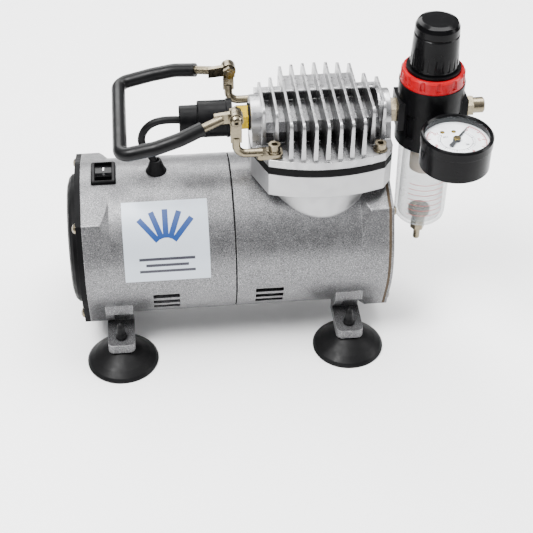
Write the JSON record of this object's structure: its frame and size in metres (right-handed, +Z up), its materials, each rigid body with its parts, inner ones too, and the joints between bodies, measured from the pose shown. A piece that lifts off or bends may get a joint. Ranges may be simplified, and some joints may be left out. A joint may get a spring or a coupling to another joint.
{
  "type": "airbrush compressor",
  "caption": "Lying piston compressor for an airbrush, with finned head, swing handle, pressure switch, filter regulator with gauge, and suction-cup feet.",
  "frame": {"origin": "on the floor, under the centre of the overall box", "axes": "+X from the fan end to the air outlet, +Y to the back, +Z up"},
  "size_m": [0.258, 0.1436, 0.208],
  "materials": {
    "housing_silver": "fine hammered silver paint",
    "cast_aluminium": "bright as-cast, edges machined",
    "frame_black": "smooth satin black",
    "cover_silver": "smooth silver paint",
    "gasket_black": "matt",
    "gasket_brown": "pressed fibre",
    "zinc_steel": "nickel plate with a warm tint",
    "steel": "turned and ground",
    "brass": "turned",
    "copper_wire": "varnished enamelled wire",
    "rod_alloy": "as cast",
    "rubber_black": "satin",
    "plastic_black": "moulded, semi-gloss",
    "rocker_black": "moulded, gloss",
    "ring_red": "moulded, gloss",
    "bowl_clear": "clear polycarbonate",
    "element_tan": "sintered, porous",
    "dial_white": "printed scale",
    "needle_black": "matt",
    "lens_clear": "clear flat window",
    "label_blue": null
  },
  "bodies": {
    "frame": {"brass_fitting": "brass", "crank_housing": "housing_silver", "cylinder_head": "cast_aluminium", "cylinder_sleeve": "steel", "diaphragm": "gasket_brown", "drain_seat": "steel", "end_cover": "cover_silver", "end_cover_gasket": "gasket_brown", "end_screws": "zinc_steel", "exhaust_reed": "steel", "fan_cover": "frame_black", "fan_cover_frame": "frame_black", "fan_end_shield": "cast_aluminium", "filter_bowl": "bowl_clear", "filter_element": "element_tan", "fitting_washer": "gasket_black", "gauge_case": "plastic_black", "gauge_dial": "dial_white", "gauge_lens": "lens_clear", "gauge_stem": "steel", "handle_brackets": "zinc_steel", "handle_pivot_screws": "zinc_steel", "head_gaskets": "gasket_black", "head_screws": "zinc_steel", "housing_seam_ring": "gasket_black", "inlet_nipple": "zinc_steel", "lead_grommet": "rubber_black", "lock_ring": "ring_red", "mains_gland": "rubber_black", "motor_housing": "housing_silver", "name_label": "label_blue", "outlet_fitting": "steel", "pressure_switch_body": "plastic_black", "pressure_switch_cap": "plastic_black", "range_spring": "steel", "regulator_body": "plastic_black", "regulator_bonnet": "plastic_black", "shaft_bearings": "steel", "stator_core": "steel", "stator_windings": "copper_wire", "suction_cups": "rubber_black", "switch_frame": "plastic_black", "switch_lead": "rubber_black", "valve_plate": "frame_black"},
    "rotor": {"motor_shaft": "steel", "rotor_core": "steel", "cooling_fan": "plastic_black", "crank_disc": "cast_aluminium"},
    "piston_group": {"piston": "cast_aluminium", "piston_seal": "rubber_black", "wrist_pin": "steel"},
    "rod": {"connecting_rod": "rod_alloy"},
    "handle": {"handle_bar": "zinc_steel", "handle_grip": "rubber_black"},
    "rocker": {"switch_rocker": "rocker_black"},
    "adjuster": {"adjusting_screw": "steel"},
    "knob": {"regulator_knob": "plastic_black"},
    "seat": {"spring_seat": "steel"},
    "needle": {"gauge_needle": "needle_black"},
    "drain": {"drain_valve": "zinc_steel"}
  },
  "joints": [
    {"name": "motor_spin", "type": "hinge", "parent": "frame", "child": "rotor", "pos_m": [-0.027, 0, 0.0622], "axis": [1, 0, 0], "continuous": true},
    {"name": "piston_slide", "type": "slide", "parent": "frame", "child": "piston_group", "axis": [0, 0, 1], "range_m": [-0.014, 0]},
    {"name": "rod_swing", "type": "hinge", "parent": "piston_group", "child": "rod", "pos_m": [0.0276, 0, 0.1152], "axis": [1, 0, 0], "range_deg": [-8.7, 8.7]},
    {"name": "handle_swing", "type": "hinge", "parent": "frame", "child": "handle", "pos_m": [-0.025, 0, 0.1652], "axis": [0, 1, 0], "range_deg": [-10, 170]},
    {"name": "power_rocker", "type": "hinge", "parent": "frame", "child": "rocker", "pos_m": [-0.105, 0, 0.1085], "axis": [1, 0, 0], "range_deg": [0, 24]},
    {"name": "knob_turn", "type": "hinge", "parent": "frame", "child": "adjuster", "pos_m": [0.0956, 0, 0.19], "axis": [0, 0, 1], "range_deg": [-1440, 0]},
    {"name": "knob_pull", "type": "slide", "parent": "adjuster", "child": "knob", "axis": [0, 0, 1], "range_m": [0, 0.003]},
    {"name": "seat_slide", "type": "slide", "parent": "frame", "child": "seat", "axis": [0, 0, 1], "range_m": [-0.004, 0], "deforming": ["range_spring"]},
    {"name": "gauge_needle_turn", "type": "hinge", "parent": "frame", "child": "needle", "pos_m": [0.102, -0.04555, 0.155], "axis": [0, 0, 1], "range_deg": [-270, 0], "stiffness_Nm_per_rad": 0.0000002},
    {"name": "drain_push", "type": "slide", "parent": "frame", "child": "drain", "axis": [0, 0, 1], "range_m": [0, 0.003], "stiffness_N_per_m": 300}
  ],
  "couplings": [
    {"joint": "knob_turn", "follows": "seat_slide", "rad_per_m": 6283.2}
  ]
}
